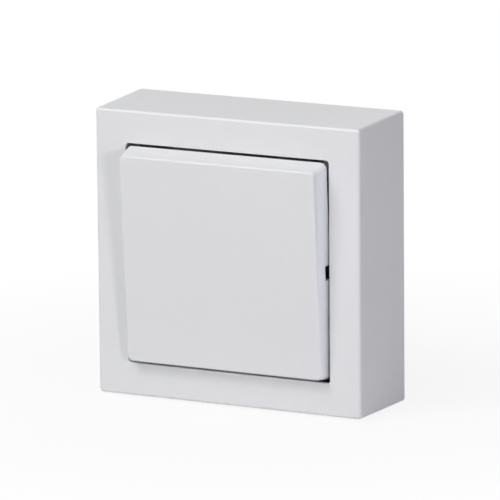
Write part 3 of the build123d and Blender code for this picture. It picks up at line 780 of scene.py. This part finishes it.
def button_rings():
    """The button's section from the face's edge, down its outside and back up its inside."""
    drop = FACE_N - KNEE_N
    lean_x = (KNEE_HALF_X - FACE_HALF_X) / drop
    lean_z = (KNEE_HALF_Z - FACE_HALF_Z) / drop
    rings = []
    for angle in arc(90, FACE_EDGE_END):
        n = FACE_N - FACE_EDGE * (1 - math.sin(angle))
        inset = FACE_EDGE * (1 - math.cos(angle)) - FACE_EDGE * FACE_EDGE_OUT
        half_x = FACE_HALF_X - inset + (FACE_N - n) * lean_x
        half_z = FACE_HALF_Z - inset + (FACE_N - n) * lean_z
        rings.append((n, half_x, half_z, FACE_CORNER))
    rings.append((KNEE_N, KNEE_HALF_X, KNEE_HALF_Z, KNEE_CORNER))
    rings.append((SKIRT_N + SKIRT_EDGE, KNEE_HALF_X, KNEE_HALF_Z, KNEE_CORNER))
    rings.append((SKIRT_N, KNEE_HALF_X - SKIRT_EDGE, KNEE_HALF_Z - SKIRT_EDGE, KNEE_CORNER))
    wall = BUTTON_WALL
    rings.append((SKIRT_N, KNEE_HALF_X - wall + SKIRT_EDGE, KNEE_HALF_Z - wall + SKIRT_EDGE, KNEE_CORNER))
    rings.append((SKIRT_N + SKIRT_EDGE, KNEE_HALF_X - wall, KNEE_HALF_Z - wall, KNEE_CORNER))
    rings.append((KNEE_N, KNEE_HALF_X - wall, KNEE_HALF_Z - wall, KNEE_CORNER))
    rings.append((FACE_N - BUTTON_FACE, FACE_HALF_X - wall, FACE_HALF_Z - wall, FACE_CORNER))
    return [(on_rocker(n), half_x, half_z, corner) for n, half_x, half_z, corner in rings]


def button_inside():
    """What the button carries behind its face: ribs, posts on the carrier, and springy clips."""
    solids = []
    back = on_rocker(FACE_N - BUTTON_FACE - RIB_TALL)
    root = on_rocker(FACE_N - BUTTON_FACE / 2)
    long_x = FACE_HALF_X - BUTTON_WALL / 2
    long_z = FACE_HALF_Z - BUTTON_WALL / 2
    for at in RIB_AT:
        low, high = at - RIB_THICK / 2, at + RIB_THICK / 2
        solids.append(block(low, high, root, back, -long_z, long_z))
        solids.append(block(-long_x, long_x, root, back, low, high))
    for side in (-1, 1):
        for end in (-1, 1):
            foot = (side * POST_AT, on_rocker(CARRIER_FRONT_N), end * POST_AT)
            head = (side * POST_AT, root, end * POST_AT)
            solids.append(bar(foot, head, POST_R))
            near, far = end * CLIP_NEAR, end * (CLIP_NEAR + CLIP_THICK)
            barb = end * (CLIP_NEAR - CLIP_BARB)
            clip = [(root, near), (on_rocker(CLIP_BARB_N), near), (on_rocker(CLIP_BARB_N), barb)]
            clip += [(on_rocker(CLIP_TIP_N), near), (on_rocker(CLIP_TIP_N), far), (root, far)]
            solids.append(prism(clip, side * CLIP_X - CLIP_HALF, side * CLIP_X + CLIP_HALF, "X"))
    return solids


def to_rest(piece):
    """Turns a piece that was drawn level to the rocker's rest angle, top edge out."""
    pivot = Matrix.Translation((0, PIVOT_Y, 0))
    piece.data.transform(pivot @ Matrix.Rotation(REST_TILT, 4, "X") @ pivot.inverted())


def make_button():
    """The tray with what it carries inside, a notch in each flank, turned to its rest angle."""
    piece = as_object(stack(button_rings(), closed=False), "rocker_button_moulding", white_cover)
    join_or_cut(piece, button_inside(), "UNION")
    cuts = []
    for side in (-1, 1):
        inside = side * (KNEE_HALF_X - NOTCH_REACH)
        outside = side * (KNEE_HALF_X + NOTCH_REACH)
        top = on_rocker(NOTCH_TOP_N)
        cuts.append(block(inside, outside, top, PIVOT_Y, -NOTCH_HALF, NOTCH_HALF))
    join_or_cut(piece, cuts, "DIFFERENCE")
    to_rest(piece)
    smooth(piece)
    return keep(piece, "rocker_button", "rocker")


button = make_button()
print("button faces:", len(button.data.polygons))

# %% [markdown]
# ## Broken edges
# No moulded, stamped or sawn piece has a perfectly sharp edge. The inner pieces keep the model's own
# shape: a merged copy of each gets its flat faces back, and every sharp edge is broken by up to a fifth
# of a millimetre, which is what draws the fine highlights on the real thing.

# %% Inner pieces with broken edges
MERGE_WITHIN = 0.002 * MM
FLAT_WITHIN = math.radians(0.5)
SHARP_FROM = math.radians(25)
EDGE_STEPS = 2
ROUND_PROFILE = 0.5


def broken_edges(node_name, body, size):
    """A copy of a model piece with its sharp edges broken."""
    source = frame["nodes"][node_name]
    mesh = bmesh.new()
    mesh.from_mesh(source.data)
    bmesh.ops.remove_doubles(mesh, verts=mesh.verts, dist=MERGE_WITHIN)
    bmesh.ops.dissolve_limit(mesh, angle_limit=FLAT_WITHIN, verts=mesh.verts, edges=mesh.edges)
    sharp = [e for e in mesh.edges if len(e.link_faces) == 2 and e.calc_face_angle(0.0) > SHARP_FROM]
    bmesh.ops.bevel(
        mesh, geom=sharp, offset=size, offset_type="OFFSET", segments=EDGE_STEPS,
        profile=ROUND_PROFILE, affect="EDGES", clamp_overlap=True,
    )
    bmesh.ops.recalc_face_normals(mesh, faces=mesh.faces)
    piece = as_object(mesh, node_name + "_finished", FINISHES[slot_of[node_name]])
    smooth(piece)
    return keep(piece, node_name, body)


# How wide each edge is broken, in millimetres.
EDGE_SIZES = {
    "mounting_base": 0.2, "support_plate": 0.1, "switch_housing": 0.12, "housing_cover": 0.15,
    "rocker_carrier": 0.15, "plunger_": 0.1, "contact_bridge_": 0.06, "moving_tip_": 0.15,
    "fixed_tip_": 0.12, "common_terminal_": 0.06, "load_terminal_": 0.08, "common_block_": 0.1,
    "load_block_": 0.1,
}
body_of = {}
for body_name, members in frame["record"]["behaviour"]["bodies"].items():
    for member in members:
        body_of[member] = body_name
for start, size in EDGE_SIZES.items():
    names = [start] if start in body_of else [start + side for side in ("left", "right")]
    for node_name in names:
        piece = broken_edges(node_name, body_of[node_name], size * MM)
        print(node_name, len(piece.data.polygons), "faces")

# %% [markdown]
# ## Screws and springs
# Six screws and two springs repeat one idea at different sizes, so each is a small geometry tree with
# named inputs. A screw is a turned head with a sawn slot, a shank, and a thread that winds round it; a
# spring is a wire drawn along a helix.

# %% A tree that makes shapes
CONE_SIDES = 48
HELIX_STEPS = 40


class Shape(Tree):
    """A geometry tree with named sizes, which ends in real faces of one material."""

    def __init__(self, name, labels):
        super().__init__(bpy.data.node_groups.new(name, "GeometryNodeTree"))
        face = self.tree.interface
        face.new_socket(name="Geometry", in_out="OUTPUT", socket_type="NodeSocketGeometry")
        self.keys = {}
        for label in labels + ["Material"]:
            kind = "NodeSocketMaterial" if label == "Material" else "NodeSocketFloat"
            self.keys[label] = face.new_socket(name=label, in_out="INPUT", socket_type=kind).identifier
        self.size = {label: self.add("NodeGroupInput", out=label) for label in self.keys}

    def lifted(self, geometry, height):
        """The same shape, moved up by a height."""
        place = self.add("ShaderNodeCombineXYZ", None, {"Z": height})
        return self.add("GeometryNodeTransform", None, {"Geometry": geometry, "Translation": place})

    def cone(self, low_radius, high_radius, low, tall):
        """A closed cone or bar that stands on the height low."""
        radii = {"Radius Top": high_radius, "Radius Bottom": low_radius}
        sizes = {"Vertices": CONE_SIDES, "Depth": tall, **radii}
        return self.lifted(self.add("GeometryNodeMeshCone", None, sizes), low)

    def wound(self, radius, turns, low, tall, wire, sides):
        """A wire of one radius that winds upwards round the axis."""
        radii = {"Start Radius": radius, "End Radius": radius}
        path = {"Resolution": HELIX_STEPS, "Rotations": turns, "Height": tall, **radii}
        helix = self.add("GeometryNodeCurveSpiral", None, path)
        ring = self.add("GeometryNodeCurvePrimitiveCircle", None, {"Resolution": sides, "Radius": wire})
        pair = {"Curve": helix, "Profile Curve": ring, "Fill Caps": True}
        return self.lifted(self.add("GeometryNodeCurveToMesh", None, pair), low)

    def one_solid(self, operation, meshes):
        """Solids joined or cut by the exact solver, which leaves no open edges."""
        settings = {"operation": operation, "solver": "EXACT"}
        return self.add("GeometryNodeMeshBoolean", settings, meshes, "Mesh")

    def finish(self, geometry):
        real = self.add("GeometryNodeRealizeInstances", None, [geometry])
        shown = {"Geometry": real, "Material": self.size["Material"]}
        painted = self.add("GeometryNodeSetMaterial", None, shown)
        self.add("NodeGroupOutput", None, [painted])


def grown(shape, name, sizes, material):
    """The mesh that a shape tree makes at the given sizes, as a plain object."""
    piece = bpy.data.objects.new(name, bpy.data.meshes.new(name))
    bpy.context.scene.collection.objects.link(piece)
    step = piece.modifiers.new("shape", "NODES")
    step.node_group = shape.tree
    for label, value in dict(sizes, Material=material).items():
        step[shape.keys[label]] = value
    graph = bpy.context.evaluated_depsgraph_get()
    mesh = bpy.data.meshes.new_from_object(piece.evaluated_get(graph))
    piece.modifiers.remove(step)
    piece.data = mesh
    mesh.name = name
    return piece


# Shares of the screw's own sizes: of its head, of its shank, of its point and of its thread's tooth.
HEAD_EDGE = 0.12
CORE_SHARE = 0.8
POINT_SHARE = 0.5
TIP_SHARE = 0.55
SAW_SHARE = 2.2
THREAD_CLEAR = 1.2
THREAD_SHARE = 0.96
TOOTH_OUT = 0.45
TOOTH_HALF = 0.55
TOOTH_SIDES = 4
WIRE_SIDES = 12


def screw_tree():
    """A slotted screw that stands on its seat, with its head up and its shank down."""
    labels = ["Head radius", "Head height", "Shank radius", "Shank length", "Pitch"]
    shape = Shape("slotted screw", labels + ["Slot width", "Slot depth"])
    size = shape.size
    edge = size["Head radius"] * HEAD_EDGE
    core = size["Shank radius"] * CORE_SHARE
    length = size["Shank length"]
    point = size["Shank radius"] * POINT_SHARE
    collar = size["Head height"] - edge
    rim = size["Head radius"]
    solids = [
        shape.cone(rim, rim, 0.0, collar),
        shape.cone(rim, rim - edge, collar, edge),
        shape.cone(core, core, length * -1.0 + point, length - point),
        shape.cone(core * TIP_SHARE, core, length * -1.0, point),
    ]
    body = shape.one_solid("UNION", {"Mesh 2": solids})
    cut = [rim * SAW_SHARE, size["Slot width"], size["Slot depth"] * 2]
    cube = shape.add("GeometryNodeMeshCube", None, {"Size": shape.add("ShaderNodeCombineXYZ", None, cut)})
    saw = shape.lifted(cube, size["Head height"])
    body = shape.one_solid("DIFFERENCE", {"Mesh 1": body, "Mesh 2": saw})
    threaded = length - point * THREAD_CLEAR
    tooth = size["Shank radius"] - core
    turns = threaded / size["Pitch"]
    middle, tall, half = core + tooth * TOOTH_OUT, threaded * THREAD_SHARE, tooth * TOOTH_HALF
    thread = shape.wound(middle, turns, threaded * -1.0, tall, half, TOOTH_SIDES)
    shape.finish(shape.add("GeometryNodeJoinGeometry", None, [[body, thread]]))
    return shape


def spring_tree():
    """A wire spring that stands on its lower end."""
    shape = Shape("spring", ["Radius", "Length", "Turns", "Wire radius"])
    size = shape.size
    wire = size["Wire radius"]
    shape.finish(shape.wound(size["Radius"], size["Turns"], 0.0, size["Length"], wire, WIRE_SIDES))
    return shape


print("shape trees are ready")

# %% [markdown]
# ## Screws
# Two screws hold the support plate on the base, and four clamp the wires. A real one is turned from bar,
# its head is sawn across and its thread is rolled. The tree repeats those steps, and each screw is grown
# in the box of the model's own screw.

# %% Screws
screw = screw_tree()
# In millimetres.
SCREW_SIZES = {
    "device_screw_": {"Head radius": 3.0, "Head height": 1.7, "Shank radius": 1.25, "Pitch": 0.7},
    "common_screw_": {"Head radius": 2.4, "Head height": 1.6, "Shank radius": 1.45, "Pitch": 0.6},
}
SCREW_SIZES["load_screw_"] = SCREW_SIZES["common_screw_"]
SLOT_WIDE = 0.7
SLOT_DEEP = 0.8


def make_screw(node_name, sizes):
    """A screw in the box of the model's own screw, its head towards the room."""
    low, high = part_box(node_name)
    seat = low.y + sizes["Head height"] * MM
    values = {label: value * MM for label, value in sizes.items()}
    values["Slot width"] = SLOT_WIDE * MM
    values["Slot depth"] = SLOT_DEEP * MM
    values["Shank length"] = high.y - seat
    piece = grown(screw, node_name + "_turned", values, FINISHES[slot_of[node_name]])
    face_room = Matrix.Rotation(math.radians(90), 4, "X")
    middle = Matrix.Translation(((low.x + high.x) / 2, seat, (low.z + high.z) / 2))
    piece.data.transform(middle @ face_room)
    smooth(piece)
    return keep(piece, node_name, body_of[node_name])


for start, sizes in SCREW_SIZES.items():
    for side in ("left", "right"):
        piece = make_screw(start + side, sizes)
        print(piece.name, len(piece.data.polygons), "faces")

# %% [markdown]
# ## Springs
# Each plunger has a wire spring between its head and the carrier. Rings stacked on each other would look
# alike from afar, but only a helix has the real one's lean and its two ends. It rides on the rocker.

# %% Springs
spring = spring_tree()
POLE_X = {"left": -9.7 * MM, "right": 9.7 * MM}
PLUNGER_HEAD_N = -9.6 * MM
SPRING_R = 1.6 * MM
SPRING_WIRE_R = 0.22 * MM
SPRING_TURNS = 5.0
SPRING_SEAT = 0.05 * MM


def make_spring(side):
    """A spring between the carrier and the plunger's head."""
    margin = SPRING_WIRE_R + SPRING_SEAT
    front = on_rocker(CARRIER_BACK_N) + margin
    back = on_rocker(PLUNGER_HEAD_N) - margin
    node_name = "plunger_spring_" + side
    sizes = {"Radius": SPRING_R, "Length": back - front, "Turns": SPRING_TURNS}
    sizes["Wire radius"] = SPRING_WIRE_R
    piece = grown(spring, node_name + "_wound", sizes, FINISHES[slot_of[node_name]])
    into_wall = Matrix.Rotation(math.radians(-90), 4, "X")
    piece.data.transform(Matrix.Translation((POLE_X[side], front, 0)) @ into_wall)
    to_rest(piece)
    smooth(piece)
    keep(piece, node_name, body_of[node_name])
    seat = on_rocker(CARRIER_BACK_N) - PIVOT_Y
    along = (0, math.cos(REST_TILT), math.sin(REST_TILT))
    seat_place = (POLE_X[side], PIVOT_Y + seat * along[1], seat * along[2])
    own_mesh(piece)
    return piece


for side in ("left", "right"):
    piece = make_spring(side)
    print(piece.name, len(piece.data.polygons), "faces")
